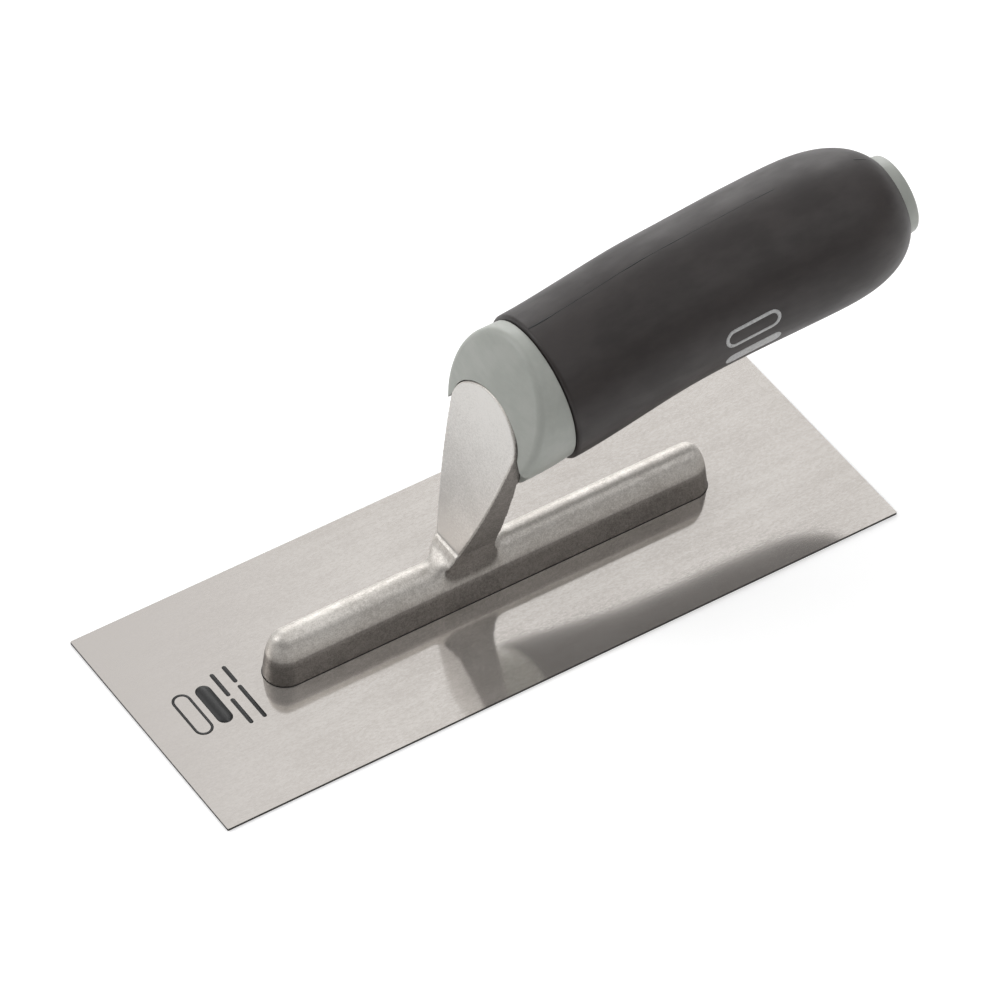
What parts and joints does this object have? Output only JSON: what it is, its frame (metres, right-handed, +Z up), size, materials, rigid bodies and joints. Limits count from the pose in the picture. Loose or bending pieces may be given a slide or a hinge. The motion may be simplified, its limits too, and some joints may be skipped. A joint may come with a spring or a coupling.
{
  "type": "margin trowel",
  "caption": "Small plastering or margin trowel: flat steel blade, cast rib and leaning shank, soft-grip handle with a collar and an end cap.",
  "frame": {"origin": "centre of the blade's underside", "axes": "+X along the blade towards the handle's rear end, +Y to the left of it, +Z up, away from the work; at rest the blade lies flat"},
  "size_m": [0.2266, 0.0762, 0.0917],
  "materials": {
    "blade_steel": "brushed along the blade's length",
    "rivet_steel": "ground flush with the blade's underside",
    "cast_alloy": "tumbled casting, with a linished face on the shank",
    "collar_plastic": "satin grey moulding",
    "core_plastic": "plain moulding, hidden",
    "grip_rubber": "soft satin black overmould",
    "cap_plastic": "satin grey moulding",
    "fastener_steel": "zinc plated, hidden"
  },
  "bodies": {
    "root": {"blade": "blade_steel", "blade_rivets": "rivet_steel", "mounting": "cast_alloy", "front_collar": "collar_plastic", "handle_core": "core_plastic", "grip_sleeve": "grip_rubber", "end_cap": "cap_plastic", "handle_bolt": "fastener_steel", "bolt_washer": "fastener_steel"}
  },
  "joints": []
}
